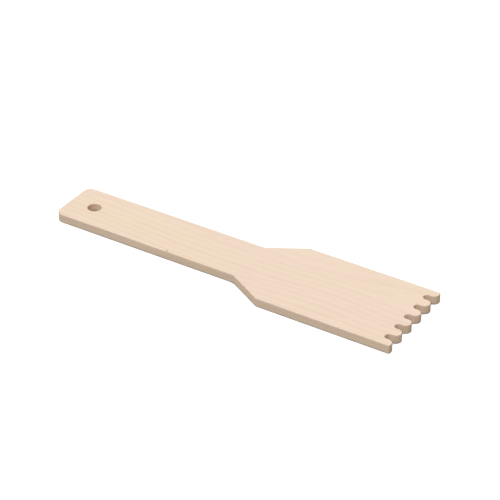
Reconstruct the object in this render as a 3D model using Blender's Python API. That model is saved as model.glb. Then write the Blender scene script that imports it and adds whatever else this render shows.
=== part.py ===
"""A notched hand paddle sawn from one thin hardwood board.

The handle carries a round hanging hole. Straight tapered shoulders widen it into a blade, whose end is
cut into round-tipped teeth with round-bottomed notches between them.

Metres, +Z up. The origin is the middle of the underside, and +X points from the handle to the teeth.
"""

from math import atan2, cos, hypot, pi, radians, sin, tan

import bmesh
import bpy
from mathutils import Vector

# The board
LENGTH = 0.280
THICKNESS = 0.0067
EDGE_EASE = 0.0006
EASE_SEGMENTS = 2

# The handle
HANDLE_WIDTH = 0.0405
HANDLE_LENGTH = 0.1502
END_CORNER_RADIUS = 0.006
HOLE_DIAMETER = 0.010
HOLE_FROM_END = 0.020
HOLE_SIDES = 48

# The shoulders
SHOULDER_LENGTH = 0.0275
INNER_BEND_RADIUS = 0.005
OUTER_BEND_RADIUS = 0.003

# The blade and its teeth
BLADE_WIDTH = 0.0716
OUTER_CORNER_RADIUS = 0.0017
NOTCH_COUNT = 5
NOTCH_PITCH = 0.01325
NOTCH_WIDTH = 0.0054
NOTCH_DEPTH = 0.0083

# The size of one straight step along a round stretch
STEP_ANGLE = radians(11.25)

# Worked out from the above
HANDLE_END_X = -LENGTH / 2
TIP_X = LENGTH / 2
NOTCH_RADIUS = NOTCH_WIDTH / 2
TIP_RADIUS = (NOTCH_PITCH - NOTCH_WIDTH) / 2
SAME_POINT = 1e-7


def arc(centre, radius, start, turn):
    """Points along an arc about centre, from the angle start through the angle turn."""
    steps = max(2, round(abs(turn) / STEP_ANGLE))
    angles = [start + turn * step / steps for step in range(steps + 1)]
    return [Vector((centre[0] + radius * cos(a), centre[1] + radius * sin(a))) for a in angles]


def rounded_bend(before, corner, after, radius):
    """Points along the arc of this radius that rounds the bend before, corner, after."""
    before, corner, after = Vector(before), Vector(corner), Vector(after)
    arriving = (corner - before).normalized()
    leaving = (after - corner).normalized()
    turn = atan2(arriving.cross(leaving), arriving.dot(leaving))
    side = 1 if turn > 0 else -1
    inwards = Vector((-arriving.y, arriving.x)) * side
    centre = corner - arriving * radius * tan(abs(turn) / 2) + inwards * radius
    return arc(centre, radius, atan2(-inwards.y, -inwards.x), turn)


def front_side():
    """The long side at -Y, from the middle of the handle's end to the outer tooth's tip."""
    handle_y = -HANDLE_WIDTH / 2
    blade_y = -BLADE_WIDTH / 2
    shoulder_x = HANDLE_END_X + HANDLE_LENGTH
    blade_x = shoulder_x + SHOULDER_LENGTH
    corners = [
        ((HANDLE_END_X, handle_y), END_CORNER_RADIUS),
        ((shoulder_x, handle_y), INNER_BEND_RADIUS),
        ((blade_x, blade_y), OUTER_BEND_RADIUS),
        ((TIP_X, blade_y), OUTER_CORNER_RADIUS),
    ]
    places = [(HANDLE_END_X, 0), *(place for place, _ in corners), (TIP_X, 0)]
    points = []
    for index, (corner, radius) in enumerate(corners):
        points += rounded_bend(places[index], corner, places[index + 2], radius)
    return points


def toothed_end():
    """The notches and the round tooth tips, from the outer tooth at -Y to the one at +Y."""
    points = []
    for index in range(NOTCH_COUNT):
        notch_y = (index - (NOTCH_COUNT - 1) / 2) * NOTCH_PITCH
        tip_x = TIP_X - TIP_RADIUS
        floor_x = TIP_X - NOTCH_DEPTH + NOTCH_RADIUS
        points += arc((tip_x, notch_y - NOTCH_PITCH / 2), TIP_RADIUS, 0, pi / 2)
        points += arc((floor_x, notch_y), NOTCH_RADIUS, -pi / 2, -pi)
        points += arc((tip_x, notch_y + NOTCH_PITCH / 2), TIP_RADIUS, -pi / 2, pi / 2)
    return points


def outline():
    """The board's outline, anticlockwise from above, with no point given twice."""
    front = front_side()
    back = [Vector((point.x, -point.y)) for point in reversed(front)]
    points = []
    for point in [*front, *toothed_end(), *back]:
        if not points or hypot(*(point - points[-1])) > SAME_POINT:
            points.append(point)
    return points


def clear_scene():
    for old in list(bpy.data.objects):
        bpy.data.objects.remove(old, do_unlink=True)


def add_object(name, shape):
    """A smooth-shaded object holding the shape."""
    mesh = bpy.data.meshes.new(name)
    shape.to_mesh(mesh)
    shape.free()
    mesh.shade_smooth()
    mesh.set_sharp_from_angle(angle=radians(30))
    made = bpy.data.objects.new(name, mesh)
    bpy.context.scene.collection.objects.link(made)
    return made


def pale_beech():
    """Bare, unfinished pale hardwood."""
    material = bpy.data.materials.new("pale_beech")
    material.use_nodes = True
    shader = material.node_tree.nodes["Principled BSDF"]
    shader.inputs["Base Color"].default_value = (0.80, 0.62, 0.46, 1)
    shader.inputs["Roughness"].default_value = 0.62
    shader.inputs["Metallic"].default_value = 0
    return material


def hanging_hole_cutter():
    """The drill's cylinder, longer than the board is thick."""
    shape = bmesh.new()
    bmesh.ops.create_cone(
        shape,
        cap_ends=True,
        segments=HOLE_SIDES,
        radius1=HOLE_DIAMETER / 2,
        radius2=HOLE_DIAMETER / 2,
        depth=3 * THICKNESS,
    )
    cutter = add_object("hanging_hole_cutter", shape)
    cutter.location = (HANDLE_END_X + HOLE_FROM_END, 0, THICKNESS / 2)
    cutter.hide_render = True
    cutter.display_type = "WIRE"
    return cutter


def notched_paddle():
    """The board, cut to its outline, drilled, and eased all round its edges."""
    shape = bmesh.new()
    underside = shape.faces.new([shape.verts.new((*point, 0)) for point in outline()])
    raised = bmesh.ops.extrude_face_region(shape, geom=[underside], use_keep_orig=True)
    top_points = [item for item in raised["geom"] if isinstance(item, bmesh.types.BMVert)]
    bmesh.ops.translate(shape, verts=top_points, vec=(0, 0, THICKNESS))
    bmesh.ops.recalc_face_normals(shape, faces=shape.faces)
    paddle = add_object("notched_paddle", shape)
    paddle.data.materials.append(pale_beech())

    drilled = paddle.modifiers.new("drilled", "BOOLEAN")
    drilled.operation = "DIFFERENCE"
    drilled.solver = "EXACT"
    drilled.object = hanging_hole_cutter()

    eased = paddle.modifiers.new("eased", "BEVEL")
    eased.width = EDGE_EASE
    eased.segments = EASE_SEGMENTS
    eased.limit_method = "ANGLE"
    eased.angle_limit = radians(45)
    eased.harden_normals = True
    return paddle


def main():
    clear_scene()
    notched_paddle()


main()
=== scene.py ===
"""Looks of the notched hand paddle: a fine surface, bare pale hardwood and a white studio.

Metres, +Z up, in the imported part's frame: the origin is the middle of the underside, +X points to the teeth.
"""

from math import atan2, cos, pi, radians, sin, tan

import bmesh
import bpy
from mathutils import Matrix, Vector, geometry, noise


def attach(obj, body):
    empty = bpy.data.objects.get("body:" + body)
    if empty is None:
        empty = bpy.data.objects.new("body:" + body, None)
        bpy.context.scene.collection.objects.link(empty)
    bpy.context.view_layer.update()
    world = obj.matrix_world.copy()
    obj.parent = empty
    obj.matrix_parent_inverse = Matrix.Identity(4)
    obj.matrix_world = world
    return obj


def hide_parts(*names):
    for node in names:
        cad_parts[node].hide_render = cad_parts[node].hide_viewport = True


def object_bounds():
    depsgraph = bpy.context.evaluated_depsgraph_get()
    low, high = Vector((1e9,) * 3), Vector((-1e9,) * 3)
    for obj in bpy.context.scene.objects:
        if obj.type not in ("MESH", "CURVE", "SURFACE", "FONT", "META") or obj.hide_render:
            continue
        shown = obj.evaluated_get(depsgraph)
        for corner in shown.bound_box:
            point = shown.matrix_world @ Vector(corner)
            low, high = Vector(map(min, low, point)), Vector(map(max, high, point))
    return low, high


NODE = "notched_paddle"
MM = 0.001

# The outline, as the part has it. Length, width and thickness come from the frame.
HANDLE_WIDTH = 40.5 * MM
HANDLE_LENGTH = 150.2 * MM
END_CORNER_RADIUS = 6 * MM
HOLE_RADIUS = 5 * MM
HOLE_FROM_END = 20 * MM
SHOULDER_LENGTH = 27.5 * MM
INNER_BEND_RADIUS = 5 * MM
OUTER_BEND_RADIUS = 3 * MM
OUTER_CORNER_RADIUS = 1.7 * MM
NOTCH_COUNT = 5
NOTCH_PITCH = 13.25 * MM
NOTCH_WIDTH = 5.4 * MM
NOTCH_DEPTH = 8.3 * MM

# How finely the surface is made
STEP_ANGLE = radians(5)
STRAIGHT_STEP = 2.5 * MM
FACE_GRID = 3.5 * MM
WALL_ROWS = 4
EASE_STEPS = 5
FLAT_RING = 0.25 * MM
SAME_POINT = 1e-7
MERGE_DISTANCE = 1e-9
SHARP_ANGLE = radians(35)

# The hand-sanded edge: how far it is rounded, and how much that varies along it
EDGE_EASE = 0.6 * MM
EASE_VARIATION = 0.18 * MM
EASE_WAVELENGTH = 22 * MM

# The small chip torn out of the handle's front top edge
CHIP_X = -44.3 * MM
CHIP_REACH = 3.0 * MM
CHIP_SLANT = -0.28
CHIP_AXIS_DROP = 0.3 * MM
CHIP_HALF_WIDTH = 0.6 * MM
CHIP_SIDES = 12
CHIP_RINGS = 12
CHIP_ROUGHNESS = 0.5
CHIP_LUMPS_ALONG = 3
CHIP_LUMPS_ROUND = 1.5

# The wood, in millimetres: the pith ran along X, behind the board and below it
PITH_Y = 50
PITH_DEPTH = 35
RING_WIDTH = 4.5
# How far a ring may lie from its even place, and over how much of the radius that changes
RING_UNEVENNESS = 0.8
RING_UNEVEN_SIZE = 14
# The grain drifts towards +Y along the handle
DRIFT = 6
DRIFT_START_X = -20
DRIFT_END_X = -140
# It bows towards +Y along the front of the blade: fully up to the core's distance from the bow's
# middle line, and not at all from the reach on
BOW = 3.5
BOW_START_X = 25
BOW_MIDDLE_X = 80
BOW_END_X = 130
BOW_MIDDLE_Y = -10
BOW_CORE = 10
BOW_REACH = 25
# It fans out towards the teeth on the back of the blade
FAN = 0.55
FAN_START_X = 30
FAN_END_X = 140
FAN_START_Y = 5
# The inner rings are fainter than the outer ones
FAINTEST_RING = 0.35
FAINT_RADIUS = 42
CLEAR_RADIUS = 70
# How dark the wood is from one spring's growth to the next
RING_PROFILE = (
    (0, 0.7),
    (0.08, 0.3),
    (0.22, 0.03),
    (0.45, 0.05),
    (0.7, 0.35),
    (0.87, 0.85),
    (0.94, 1),
    (1, 0.7),
)

# A year's ring is this clear at least, and up to the spread clearer by chance
YEARLY_LEAST = 0.8
YEARLY_SPREAD = 0.4
# The rings fade and grow clear again along the grain, by the swing about the mean
FADING_SIZES = (28, 6, 6)
FADING_MEAN = 0.8
FADING_SWING = 0.45

# The other patterns: their sizes along the grain, across it and through the thickness, in millimetres
WANDER_SIZES = (70, 25, 25)
WANDER_DISTANCE = 0.4
BROAD_SIZES = (120, 9, 9)
STREAK_SIZES = (45, 1.8, 1.8)
MOTTLE_SIZES = (8, 1.2, 1.2)
FIBRE_SIZES = (14, 0.28, 0.28)
PORE_SIZES = (2.2, 0.22, 0.22)
FLECK_SIZES = (3.4, 0.6, 0.6)
ROSY_SIZES = (80, 16, 16)
ROSY_RANGE = (-0.8, 0.8)
# Saw marks run up the walls, end grain is frayed in spots, and the eased edges are darker in patches
SAW_MARK_SIZES = (0.55, 0.55, 22)
FRAYED_SIZES = (0.9, 0.9, 1.6)
EASED_EDGE_PATCH_SIZES = (9, 5, 5)
EASED_EDGE_PATCH_RANGE = (-1.6, 0.8)
EASED_EDGE_STEEPNESS = 6
# How far from its middle a pore or fleck ends, and how far it is whole, in units of its size
PORE_REACH = (0.32, 0.18)
FLECK_REACH = (0.30, 0.16)

# How much each pattern darkens the wood, where 1 is summerwood's colour
LEAST_DARKNESS = 0.04
RING_DARKNESS = 0.15
BROAD_DARKNESS = 0.03
STREAK_DARKNESS = 0.04
MOTTLE_DARKNESS = 0.03
FIBRE_DARKNESS = 0.03
PORE_DARKNESS = 0.10
FLECK_DARKNESS = 0.07
SAWN_DARKNESS = 0.05
FRAYED_DARKNESS = 0.45
END_PORE_DARKNESS = 0.25

# The surface: how rough it is, and how deep the patterns are in units of the relief
ROUGHNESS = 0.60
STREAK_ROUGHNESS = 0.03
END_ROUGHNESS = 0.12
EASED_EDGE_ROUGHNESS = -0.08
SPECULAR_LEVEL = 0.35
RELIEF = 0.04 * MM
RELIEF_STRENGTH = 0.5
FIBRE_RELIEF = 0.25
PORE_RELIEF = -0.6
SAWN_RELIEF = 0.5
FRAYED_RELIEF = -0.8
RING_RELIEF = 0.15

# Colours, linear
SPRINGWOOD = (0.735, 0.595, 0.48)
SUMMERWOOD = (0.47, 0.33, 0.225)
# Painted light on the walls: their sawn colour, lifted lighter than the top to stand in for light falling on
# them
SAWN_AND_PAINTED_LIGHT_TINT = (1.13, 1.09, 1.04)
# End grain's own tone, lifted by painted light that stands in for light on the ends
END_GRAIN_AND_PAINTED_LIGHT_TINT = (1.02, 0.98, 0.91)
# The eased edges are made darker, in patches
EASED_EDGE_TINT = (0.90, 0.885, 0.87)
# The chip's walls are made darker than the rest of the wood
DARKER_CHIP_TINT = (0.86, 0.79, 0.72)
UNTINTED = (1, 1, 1)
# The slow drift of colour along the board, from yellowish to rosy
YELLOWISH_TINT = (0.995, 1.0, 0.955)
ROSY_TINT = (1.0, 0.985, 0.995)

# The camera, round the middle of the underside
AZIMUTH = radians(32.11)
ELEVATION = radians(33.32)
DISTANCE = 5.196
FRAMED_RIGHT = 0.0330
FRAMED_UP = 0.0363
LENS_MM = 151.8

# The studio
FLOOR_HALF = 3.0
FLOOR_ALBEDO = 0.28
FLOOR_GLOW = 0.88
FLOOR_SHADE_REACH = 0.03
# How open the floor is to the room where its lift to white starts, and where it is whole
FLOOR_LIFT_RANGE = (0.4, 0.52)
SOFTBOX_STRENGTH = 3.15
SOFTBOX_SPREAD = radians(70)
SOFTBOX_TILT = radians(18)
SOFTBOX_TURN = radians(-17)
FILL_STRENGTH = 0.3
WHITE = (1, 1, 1)


# ---------------------------------------------------------------- outline


def arc(centre, radius, start, turn):
    """Points along an arc about centre, from the angle start through the angle turn."""
    steps = max(3, round(abs(turn) / STEP_ANGLE))
    angles = [start + turn * step / steps for step in range(steps + 1)]
    return [Vector((centre[0] + radius * cos(a), centre[1] + radius * sin(a))) for a in angles]


def rounded_bend(before, corner, after, radius):
    """Points along the arc of this radius that rounds the bend before, corner, after."""
    before, corner, after = Vector(before), Vector(corner), Vector(after)
    arriving = (corner - before).normalized()
    leaving = (after - corner).normalized()
    turn = atan2(arriving.cross(leaving), arriving.dot(leaving))
    side = 1 if turn > 0 else -1
    inwards = Vector((-arriving.y, arriving.x)) * side
    centre = corner - arriving * radius * tan(abs(turn) / 2) + inwards * radius
    return arc(centre, radius, atan2(-inwards.y, -inwards.x), turn)


def front_side(end_x, tip_x, blade_width):
    """The long side at -Y, from the handle's end corner to the outer tooth's corner."""
    shoulder_x = end_x + HANDLE_LENGTH
    corners = [
        ((end_x, -HANDLE_WIDTH / 2), END_CORNER_RADIUS),
        ((shoulder_x, -HANDLE_WIDTH / 2), INNER_BEND_RADIUS),
        ((shoulder_x + SHOULDER_LENGTH, -blade_width / 2), OUTER_BEND_RADIUS),
        ((tip_x, -blade_width / 2), OUTER_CORNER_RADIUS),
    ]
    places = [(end_x, 0), *(place for place, _ in corners), (tip_x, 0)]
    points = []
    for index, (corner, radius) in enumerate(corners):
        points += rounded_bend(places[index], corner, places[index + 2], radius)
    return points


def toothed_end(tip_x):
    """The notches and the round tooth tips, from the outer tooth at -Y to the one at +Y."""
    tip_radius = (NOTCH_PITCH - NOTCH_WIDTH) / 2
    notch_radius = NOTCH_WIDTH / 2
    floor_x = tip_x - NOTCH_DEPTH + notch_radius
    points = []
    for index in range(NOTCH_COUNT):
        notch_y = (index - (NOTCH_COUNT - 1) / 2) * NOTCH_PITCH
        centre_x = tip_x - tip_radius
        points += arc((centre_x, notch_y - NOTCH_PITCH / 2), tip_radius, 0, pi / 2)
        points += arc((floor_x, notch_y), notch_radius, -pi / 2, -pi)
        points += arc((centre_x, notch_y + NOTCH_PITCH / 2), tip_radius, -pi / 2, pi / 2)
    return points


def with_straights_divided(points):
    """The closed outline with no point twice, and with points added along its straight stretches."""
    divided = []
    for index, point in enumerate(points):
        following = points[(index + 1) % len(points)]
        gap = (following - point).length
        if gap < SAME_POINT:
            continue
        steps = max(1, round(gap / STRAIGHT_STEP))
        divided += [point.lerp(following, step / steps) for step in range(steps)]
    return divided


def board_outline(low, high):
    """The board's outline, anticlockwise from above."""
    front = front_side(low.x, high.x, high.y - low.y)
    back = [Vector((point.x, -point.y)) for point in reversed(front)]
    return with_straights_divided([*front, *toothed_end(high.x), *back])


def hole_centre(low):
    return Vector((low.x + HOLE_FROM_END, 0))


def hole_outline(low):
    """The hanging hole, clockwise from above, so that the wood is on its left as well."""
    return arc(hole_centre(low), HOLE_RADIUS, 0, -2 * pi)[:-1]


# ---------------------------------------------------------------- surface


def inward_normals(loop):
    """At each point of the loop, the direction into the wood, which is on the loop's left."""
    normals = []
    for index, point in enumerate(loop):
        along = (loop[(index + 1) % len(loop)] - loop[index - 1]).normalized()
        normals.append(Vector((-along.y, along.x)))
    return normals


def ease_at(point):
    """How far the edge is rounded here: sanding by hand takes a little more off in places."""
    place = Vector((point.x, point.y, 0)) / EASE_WAVELENGTH
    return EDGE_EASE + EASE_VARIATION * noise.noise(place)


def wall_rings(loop, thickness):
    """Rings of points from the underside, out round the eased edge, up the wall and on to the top."""
    rings = []
    quarter = [pi / 2 * step / EASE_STEPS for step in range(EASE_STEPS + 1)]
    inwards = inward_normals(loop)
    eases = [ease_at(point) for point in loop]

    def ring(inset, height):
        """One ring: inset and height are functions of how far the edge is rounded at a point."""
        rings.append(
            [
                (*(point + inward * inset(ease)), height(ease))
                for point, inward, ease in zip(loop, inwards, eases)
            ]
        )

    ring(lambda ease: ease + FLAT_RING, lambda ease: 0)
    for angle in quarter:
        ring(lambda ease: ease * (1 - sin(angle)), lambda ease: ease * (1 - cos(angle)))
    for row in range(1, WALL_ROWS):
        share = row / WALL_ROWS
        ring(lambda ease: 0, lambda ease: ease + share * (thickness - 2 * ease))
    for angle in reversed(quarter):
        ring(
            lambda ease: ease * (1 - sin(angle)),
            lambda ease: thickness - ease * (1 - cos(angle)),
        )
    ring(lambda ease: ease + FLAT_RING, lambda ease: thickness)
    return rings


def add_walls(shape, rings):
    """Joins the rings with faces. Returns the first ring's vertices and the last one's."""
    made = [[shape.verts.new(place) for place in ring] for ring in rings]
    for lower, upper in zip(made, made[1:]):
        for index in range(len(lower)):
            following = (index + 1) % len(lower)
            shape.faces.new((lower[index], lower[following], upper[following], upper[index]))
    return made[0], made[-1]


def grid_points(low, high):
    """A triangular grid of points over the board's box."""
    points = []
    row_height = FACE_GRID * sin(pi / 3)
    rows = int((high.y - low.y) / row_height)
    columns = int((high.x - low.x) / FACE_GRID)
    for row in range(rows + 1):
        y = (row - rows / 2) * row_height
        shift = FACE_GRID / 2 * (row % 2)
        points += [Vector((low.x + shift + column * FACE_GRID, y)) for column in range(columns + 1)]
    return points


def clear_of(points, loops, gap):
    """Those of the points that are at least the gap away from every point of the loops."""
    return [p for p in points if all((p - q).length > gap for loop in loops for q in loop)]


def add_flat_face(shape, loops, low, high, facing_up):
    """Fills the flat between the board's ring and the hole's with even triangles."""
    flat = [[Vector(vertex.co.xy) for vertex in loop] for loop in loops]
    height = loops[0][0].co.z
    inner = clear_of(grid_points(low, high), flat, FACE_GRID / 2)
    places = [point for loop in flat for point in loop] + inner
    edges, start = [], 0
    for loop in flat:
        count = len(loop)
        edges += [(start + index, start + (index + 1) % count) for index in range(count)]
        start += count
    only_inside = 1
    found = geometry.delaunay_2d_cdt(places, edges, [], only_inside, MERGE_DISTANCE)
    points, triangles, sources = found[0], found[2], found[3]
    on_rings = [vertex for loop in loops for vertex in loop]
    vertices = []
    for point, origins in zip(points, sources):
        ringed = [origin for origin in origins if origin < len(on_rings)]
        if ringed:
            vertices.append(on_rings[ringed[0]])
        else:
            vertices.append(shape.verts.new((*point, height)))
    for triangle in triangles:
        middle = sum((points[index] for index in triangle), Vector((0, 0))) / 3
        if (middle - hole_centre(low)).length < HOLE_RADIUS:
            continue
        corners = [vertices[index] for index in triangle]
        shape.faces.new(corners if facing_up else corners[::-1])


def fine_board(low, high):
    """The board's surface: flat faces, eased edges and smooth walls, as one closed mesh."""
    shape = bmesh.new()
    thickness = high.z - low.z
    undersides, tops = [], []
    for loop in (board_outline(low, high), hole_outline(low)):
        underside, top = add_walls(shape, wall_rings(loop, thickness))
        undersides.append(underside)
        tops.append(top)
    add_flat_face(shape, undersides, low, high, facing_up=False)
    add_flat_face(shape, tops, low, high, facing_up=True)
    loose = [vertex for vertex in shape.verts if not vertex.link_faces]
    bmesh.ops.delete(shape, geom=loose, context="VERTS")
    return shape


def chip_cutter(thickness):
    """A rough cone lying on the front top edge, its tip on the top face, that tears the chip out."""
    edge = Vector((CHIP_X, -HANDLE_WIDTH / 2, thickness - CHIP_AXIS_DROP))
    tip = Vector((CHIP_X + CHIP_SLANT * CHIP_REACH, CHIP_REACH - HANDLE_WIDTH / 2, thickness))
    outwards = edge - tip
    across = outwards.cross(Vector((0, 0, 1))).normalized()
    upright = across.cross(outwards).normalized()
    shape = bmesh.new()
    rings = []
    for row in range(1, CHIP_RINGS + 1):
        share = row * 2 / CHIP_RINGS
        ring = []
        for side in range(CHIP_SIDES):
            angle = 2 * pi * side / CHIP_SIDES
            lumps = Vector((0, cos(angle), sin(angle))) * CHIP_LUMPS_ROUND
            lumps.x = CHIP_LUMPS_ALONG * share
            rough = 1 + CHIP_ROUGHNESS * noise.noise(lumps)
            spoke = (across * cos(angle) + upright * sin(angle)) * CHIP_HALF_WIDTH * share * rough
            ring.append(shape.verts.new(tip + outwards * share + spoke))
        rings.append(ring)
    point = shape.verts.new(tip)
    for side in range(CHIP_SIDES):
        following = (side + 1) % CHIP_SIDES
        shape.faces.new((point, rings[0][following], rings[0][side]))
        for inner, outer in zip(rings, rings[1:]):
            shape.faces.new((inner[side], inner[following], outer[following], outer[side]))
    shape.faces.new(rings[-1])
    bmesh.ops.recalc_face_normals(shape, faces=shape.faces)
    return shape


def tear_out(piece, shape, material):
    """Takes the shape out of the piece, for good, and leaves rough walls of the material."""
    cutter = add_piece("chip_cutter", shape, material)
    cutter.data.shade_flat()
    tear = piece.modifiers.new("tear", "BOOLEAN")
    tear.object = cutter
    tear.material_mode = "TRANSFER"
    graph = bpy.context.evaluated_depsgraph_get()
    torn = bpy.data.meshes.new_from_object(piece.evaluated_get(graph))
    piece.modifiers.remove(tear)
    whole, piece.data = piece.data, torn
    torn.set_sharp_from_angle(angle=SHARP_ANGLE)
    bpy.data.objects.remove(cutter)
    bpy.data.meshes.remove(whole)


def add_piece(name, shape, material):
    """A smooth-shaded object of the material, holding the shape."""
    mesh = bpy.data.meshes.new(name)
    shape.to_mesh(mesh)
    shape.free()
    mesh.shade_smooth()
    mesh.set_sharp_from_angle(angle=SHARP_ANGLE)
    mesh.materials.append(material)
    made = bpy.data.objects.new(name, mesh)
    bpy.context.scene.collection.objects.link(made)
    return made


# ---------------------------------------------------------------- materials


class Graph:
    """A new material's nodes. What a method returns is an output socket, to be given to another method."""

    def __init__(self, name):
        self.material = bpy.data.materials.new(name)
        self.material.use_nodes = True
        self.tree = self.material.node_tree
        self.shader = self.tree.nodes["Principled BSDF"]

    def add(self, kind, **settings):
        node = self.tree.nodes.new("ShaderNode" + kind)
        for setting, value in settings.items():
            setattr(node, setting, value)
        return node

    def feed(self, socket, value):
        """Links an output to the input socket, or sets the socket to a plain number, vector or colour."""
        if isinstance(value, bpy.types.NodeSocket):
            self.tree.links.new(value, socket)
        elif socket.type == "RGBA":
            socket.default_value = (*value, 1)
        else:
            socket.default_value = value

    def maths(self, operation, *values, clamp=False):
        node = self.add("Math", operation=operation, use_clamp=clamp)
        for socket, value in zip(node.inputs, values):
            self.feed(socket, value)
        return node.outputs[0]

    def total(self, *values):
        result = values[0]
        for value in values[1:]:
            result = self.maths("ADD", result, value)
        return result

    def weighted(self, layers, weights, start):
        """The start plus each named layer times its weight."""
        result = start
        for name, weight in weights.items():
            result = self.maths("MULTIPLY_ADD", layers[name], weight, result)
        return result

    def vector(self, x, y, z):
        node = self.add("CombineXYZ")
        for socket, value in zip(node.inputs, (x, y, z)):
            self.feed(socket, value)
        return node.outputs[0]

    def parts_of(self, vector):
        node = self.add("SeparateXYZ")
        self.feed(node.inputs[0], vector)
        return node.outputs

    def times(self, vector, factors):
        node = self.add("VectorMath", operation="MULTIPLY")
        self.feed(node.inputs[0], vector)
        self.feed(node.inputs[1], factors)
        return node.outputs[0]

    def grain_sized(self, vector, sizes):
        """The vector in units of the given sizes."""
        return self.times(vector, [1 / size for size in sizes])

    def noise(self, vector, sizes, detail=2.0):
        """Soft noise from about -1 to 1 whose features have these sizes."""
        node = self.add("TexNoise")
        self.feed(node.inputs["Vector"], self.grain_sized(vector, sizes))
        node.inputs["Scale"].default_value = 1
        node.inputs["Detail"].default_value = detail
        # The node's own noise lies about 0.5, mostly within a quarter of it
        return self.maths("MULTIPLY_ADD", node.outputs[0], 4, -2)

    def cells(self, vector, sizes):
        """The distance, in units of the sizes, to the nearest of one random point to a cell."""
        node = self.add("TexVoronoi")
        self.feed(node.inputs["Vector"], self.grain_sized(vector, sizes))
        node.inputs["Scale"].default_value = 1
        return node.outputs["Distance"]

    def ramp(self, value, start, end):
        """0 up to the value start, 1 from the value end on, smooth between them."""
        node = self.add("MapRange", interpolation_type="SMOOTHSTEP")
        for socket, number in zip(node.inputs, (value, start, end, 0.0, 1.0)):
            self.feed(socket, number)
        return node.outputs[0]

    def curve(self, value, points):
        """A smooth curve through the points, each a pair of value and result."""
        first, last = points[0][0], points[-1][0]
        lowest = min(result for _, result in points)
        height = max(result for _, result in points) - lowest
        places = [((at - first) / (last - first), (result - lowest) / height) for at, result in points]
        node = self.add("FloatCurve")
        line = node.mapping.curves[0]
        line.points[0].location = places[0]
        line.points[1].location = places[-1]
        for place in places[1:-1]:
            line.points.new(*place)
        node.mapping.update()
        share = self.maths("DIVIDE", self.maths("SUBTRACT", value, first), last - first, clamp=True)
        self.feed(node.inputs["Value"], share)
        return self.maths("MULTIPLY_ADD", node.outputs[0], height, lowest)

    def mix(self, share, colour, other, kind="MIX"):
        node = self.add("Mix", data_type="RGBA", blend_type=kind)
        self.feed(node.inputs[0], share)
        self.feed(node.inputs[6], colour)
        self.feed(node.inputs[7], other)
        return node.outputs[2]


def along_the_grain(graph):
    """The place in millimetres, with Y measured across the grain as it drifts and bows along the board."""
    place = graph.times(graph.add("TexCoord").outputs["Object"], [1 / MM] * 3)
    x, y, z = graph.parts_of(place)
    wander = graph.maths("MULTIPLY", graph.noise(place, WANDER_SIZES), WANDER_DISTANCE)
    drift = graph.maths("MULTIPLY", graph.ramp(x, DRIFT_START_X, DRIFT_END_X), DRIFT)
    rising = graph.ramp(x, BOW_START_X, BOW_MIDDLE_X)
    falling = graph.ramp(x, BOW_MIDDLE_X, BOW_END_X)
    from_core = graph.maths("ABSOLUTE", graph.maths("SUBTRACT", y, BOW_MIDDLE_Y))
    bow = graph.maths("MULTIPLY", graph.maths("SUBTRACT", rising, falling), BOW)
    bow = graph.maths("MULTIPLY", bow, graph.ramp(from_core, BOW_REACH, BOW_CORE))
    behind = graph.maths("MAXIMUM", graph.maths("SUBTRACT", y, FAN_START_Y), 0)
    fan = graph.maths("MULTIPLY", graph.ramp(x, FAN_START_X, FAN_END_X), FAN)
    fan = graph.maths("MULTIPLY", fan, behind)
    across = graph.maths("SUBTRACT", graph.total(y, wander), graph.total(drift, bow, fan))
    return place, graph.vector(x, across, z)


def growth_rings(graph, grain):
    """How dark the year's growth is here, some years darker than others."""
    _, across, z = graph.parts_of(grain)
    sideways = graph.maths("SUBTRACT", across, PITH_Y)
    upwards = graph.maths("ADD", z, PITH_DEPTH)
    squares = [graph.maths("MULTIPLY", side, side) for side in (sideways, upwards)]
    radius = graph.maths("SQRT", graph.total(*squares))
    uneven = graph.noise(graph.vector(radius, 0, 0), (RING_UNEVEN_SIZE, 1, 1))
    shifted = graph.maths("MULTIPLY_ADD", uneven, RING_UNEVENNESS, radius)
    years = graph.maths("DIVIDE", shifted, RING_WIDTH)
    profile = graph.curve(graph.maths("FRACT", years), RING_PROFILE)
    chance = graph.add("TexWhiteNoise", noise_dimensions="1D")
    graph.feed(chance.inputs["W"], graph.maths("FLOOR", years))
    yearly = graph.maths("MULTIPLY_ADD", chance.outputs["Value"], YEARLY_SPREAD, YEARLY_LEAST)
    patches = graph.noise(grain, FADING_SIZES)
    fading = graph.maths("MULTIPLY_ADD", patches, FADING_SWING, FADING_MEAN, clamp=True)
    outer = graph.ramp(radius, FAINT_RADIUS, CLEAR_RADIUS)
    clearness = graph.maths("MULTIPLY_ADD", outer, 1 - FAINTEST_RING, FAINTEST_RING)
    strength = graph.maths("MULTIPLY", graph.maths("MULTIPLY", yearly, fading), clearness)
    return graph.maths("MULTIPLY", profile, strength)


def facing(graph):
    """How far the surface faces along X, up or down, and sideways, each from 0 to 1."""
    x, _, z = graph.parts_of(graph.add("TexCoord").outputs["Normal"])
    end = graph.maths("MULTIPLY", x, x)
    flat = graph.maths("ABSOLUTE", z)
    return end, flat, graph.maths("SUBTRACT", 1, flat, clamp=True)


def wood_patterns(graph, place, grain, end, wall):
    """The patterns that the colour, the roughness and the relief share, by name."""
    chatter = graph.noise(place, SAW_MARK_SIZES, detail=1)
    spots = graph.noise(place, FRAYED_SIZES)
    return {
        "rings": growth_rings(graph, grain),
        "broad": graph.noise(grain, BROAD_SIZES),
        "streaks": graph.noise(grain, STREAK_SIZES, detail=3),
        "mottle": graph.noise(grain, MOTTLE_SIZES, detail=1),
        "fibres": graph.noise(grain, FIBRE_SIZES, detail=3),
        "pores": graph.ramp(graph.cells(grain, PORE_SIZES), *PORE_REACH),
        "flecks": graph.ramp(graph.cells(grain, FLECK_SIZES), *FLECK_REACH),
        "sawn": graph.maths("MULTIPLY", chatter, wall),
        "frayed": graph.maths("MULTIPLY", graph.total(spots, chatter), end),
    }


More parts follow.
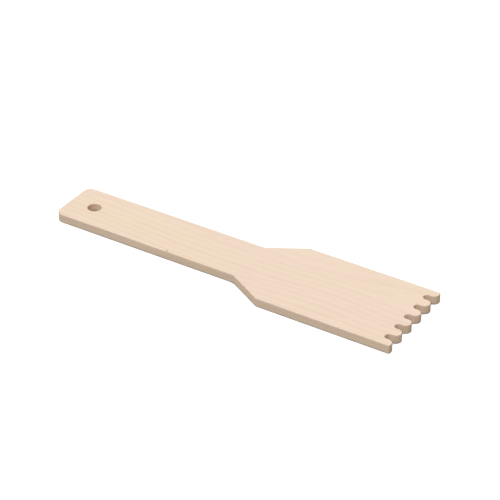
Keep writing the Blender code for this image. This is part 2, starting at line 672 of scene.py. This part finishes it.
def wood_darkness(graph, patterns, end):
    """How far the colour is from springwood to summerwood, from 0 to 1."""
    weights = {
        "rings": RING_DARKNESS,
        "broad": BROAD_DARKNESS,
        "streaks": STREAK_DARKNESS,
        "mottle": MOTTLE_DARKNESS,
        "fibres": FIBRE_DARKNESS,
        "pores": PORE_DARKNESS,
        "flecks": FLECK_DARKNESS,
        "sawn": SAWN_DARKNESS,
        "frayed": FRAYED_DARKNESS,
    }
    darkness = graph.weighted(patterns, weights, LEAST_DARKNESS)
    end_pores = graph.maths("MULTIPLY", patterns["pores"], end)
    return graph.maths("MULTIPLY_ADD", end_pores, END_PORE_DARKNESS, darkness, clamp=True)


def wood_colour(graph, grain, darkness, end, wall):
    """The wood's colour before its eased edges are darkened, with painted light on its walls and end grain."""
    rosy = graph.ramp(graph.noise(grain, ROSY_SIZES), *ROSY_RANGE)
    drift = graph.mix(rosy, YELLOWISH_TINT, ROSY_TINT)
    colour = graph.mix(darkness, SPRINGWOOD, SUMMERWOOD)
    colour = graph.mix(1.0, colour, drift, "MULTIPLY")
    # Painted light: the walls are made lighter than the top
    colour = graph.mix(wall, colour, SAWN_AND_PAINTED_LIGHT_TINT, "MULTIPLY")
    # The end grain's own tone, with painted light lifting it
    return graph.mix(end, colour, END_GRAIN_AND_PAINTED_LIGHT_TINT, "MULTIPLY")


def wood_relief(graph, patterns):
    """The bumped normal."""
    depths = {
        "fibres": FIBRE_RELIEF,
        "pores": PORE_RELIEF,
        "sawn": SAWN_RELIEF,
        "frayed": FRAYED_RELIEF,
        "rings": RING_RELIEF,
    }
    bump = graph.add("Bump")
    bump.inputs["Strength"].default_value = RELIEF_STRENGTH
    bump.inputs["Distance"].default_value = RELIEF
    graph.feed(bump.inputs["Height"], graph.weighted(patterns, depths, 0))
    return bump.outputs["Normal"]


def beech(name, tint):
    """Bare, sanded, pale hardwood, its grain running through the solid."""
    graph = Graph(name)
    place, grain = along_the_grain(graph)
    end, flat, wall = facing(graph)
    patterns = wood_patterns(graph, place, grain, end, wall)
    darkness = wood_darkness(graph, patterns, end)

    # Only the eased edges face both upwards and sideways
    eased_edge = graph.maths("MULTIPLY", graph.maths("MULTIPLY", flat, wall), EASED_EDGE_STEEPNESS, clamp=True)
    patchy = graph.ramp(graph.noise(place, EASED_EDGE_PATCH_SIZES), *EASED_EDGE_PATCH_RANGE)
    colour = wood_colour(graph, grain, darkness, end, wall)
    # Darker in patches along the eased edges
    colour = graph.mix(graph.maths("MULTIPLY", eased_edge, patchy), colour, EASED_EDGE_TINT, "MULTIPLY")
    colour = graph.mix(1.0, colour, tint, "MULTIPLY")
    graph.feed(graph.shader.inputs["Base Color"], colour)

    rough = graph.maths("MULTIPLY_ADD", patterns["streaks"], STREAK_ROUGHNESS, ROUGHNESS)
    rough = graph.maths("MULTIPLY_ADD", end, END_ROUGHNESS, rough)
    rough = graph.maths("MULTIPLY_ADD", eased_edge, EASED_EDGE_ROUGHNESS, rough, clamp=True)
    graph.feed(graph.shader.inputs["Roughness"], rough)
    graph.shader.inputs["Specular IOR Level"].default_value = SPECULAR_LEVEL
    graph.feed(graph.shader.inputs["Normal"], wood_relief(graph, patterns))
    return graph.material


def white_floor():
    """Pale grey in the light, and lifted to white where the camera looks straight at it."""
    graph = Graph("white_floor")
    graph.feed(graph.shader.inputs["Base Color"], (FLOOR_ALBEDO,) * 3)
    graph.shader.inputs["Roughness"].default_value = 1
    graph.shader.inputs["Specular IOR Level"].default_value = 0
    graph.feed(graph.shader.inputs["Emission Color"], WHITE)
    seen = graph.add("LightPath").outputs["Is Camera Ray"]
    openness = graph.add("AmbientOcclusion", samples=8)
    openness.inputs["Distance"].default_value = FLOOR_SHADE_REACH
    lifted = graph.maths("MULTIPLY", seen, graph.ramp(openness.outputs["AO"], *FLOOR_LIFT_RANGE))
    graph.feed(graph.shader.inputs["Emission Strength"], graph.maths("MULTIPLY", lifted, FLOOR_GLOW))
    return graph.material


# ---------------------------------------------------------------- studio


def add_floor():
    shape = bmesh.new()
    bmesh.ops.create_grid(shape, x_segments=1, y_segments=1, size=FLOOR_HALF)
    return add_piece("studio_floor", shape, white_floor())


def add_sun(name, strength, angle, tilt, turn):
    lamp = bpy.data.lights.new(name, "SUN")
    lamp.energy = strength
    lamp.angle = angle
    sun = bpy.data.objects.new(name, lamp)
    sun.rotation_euler = (tilt, 0, turn)
    bpy.context.scene.collection.objects.link(sun)
    return sun


def light_studio():
    """One large soft light from above and a little in front, and an even fill, before a white backdrop."""
    add_sun("overhead_softbox", SOFTBOX_STRENGTH, SOFTBOX_SPREAD, SOFTBOX_TILT, SOFTBOX_TURN)
    world = bpy.data.worlds.new("white_studio")
    world.use_nodes = True
    tree = world.node_tree
    fill = tree.nodes["Background"]
    fill.inputs["Strength"].default_value = FILL_STRENGTH
    backdrop = tree.nodes.new("ShaderNodeBackground")
    path = tree.nodes.new("ShaderNodeLightPath")
    mix = tree.nodes.new("ShaderNodeMixShader")
    for background in (fill, backdrop):
        background.inputs["Color"].default_value = (*WHITE, 1)
    tree.links.new(path.outputs["Is Camera Ray"], mix.inputs["Fac"])
    tree.links.new(fill.outputs["Background"], mix.inputs[1])
    tree.links.new(backdrop.outputs["Background"], mix.inputs[2])
    tree.links.new(mix.outputs["Shader"], tree.nodes["World Output"].inputs["Surface"])
    bpy.context.scene.world = world
    bpy.context.scene.view_settings.view_transform = "Standard"


def add_camera(length):
    """The camera, seen from which the board lies left of the picture's middle and below it."""
    right = Vector((cos(AZIMUTH), sin(AZIMUTH), 0))
    back = Vector((sin(AZIMUTH) * cos(ELEVATION), -cos(AZIMUTH) * cos(ELEVATION), sin(ELEVATION)))
    up = back.cross(right)
    camera = bpy.data.objects.new("camera", bpy.data.cameras.new("camera"))
    camera.data.lens = LENS_MM
    place = (back * DISTANCE + right * FRAMED_RIGHT + up * FRAMED_UP) * length
    turned = Matrix((right, up, back)).transposed().to_4x4()
    camera.matrix_world = Matrix.Translation(place) @ turned
    bpy.context.scene.collection.objects.link(camera)
    bpy.context.scene.camera = camera


# ---------------------------------------------------------------- the scene

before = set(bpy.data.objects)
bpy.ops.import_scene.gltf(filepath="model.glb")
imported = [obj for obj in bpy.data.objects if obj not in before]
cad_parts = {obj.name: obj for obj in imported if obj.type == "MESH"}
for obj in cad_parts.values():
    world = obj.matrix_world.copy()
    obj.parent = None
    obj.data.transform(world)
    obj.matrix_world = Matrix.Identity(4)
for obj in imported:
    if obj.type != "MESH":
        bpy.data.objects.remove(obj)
cad_low, cad_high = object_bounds()
add_camera(cad_high.x - cad_low.x)
light_studio()
add_floor()

paddle = add_piece("paddle_board", fine_board(cad_low, cad_high), beech("bare_beech", UNTINTED))
# The chip's walls get a darker copy of the wood
tear_out(paddle, chip_cutter(cad_high.z), beech("darker_chip_beech", DARKER_CHIP_TINT))
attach(paddle, "root")
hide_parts(NODE)
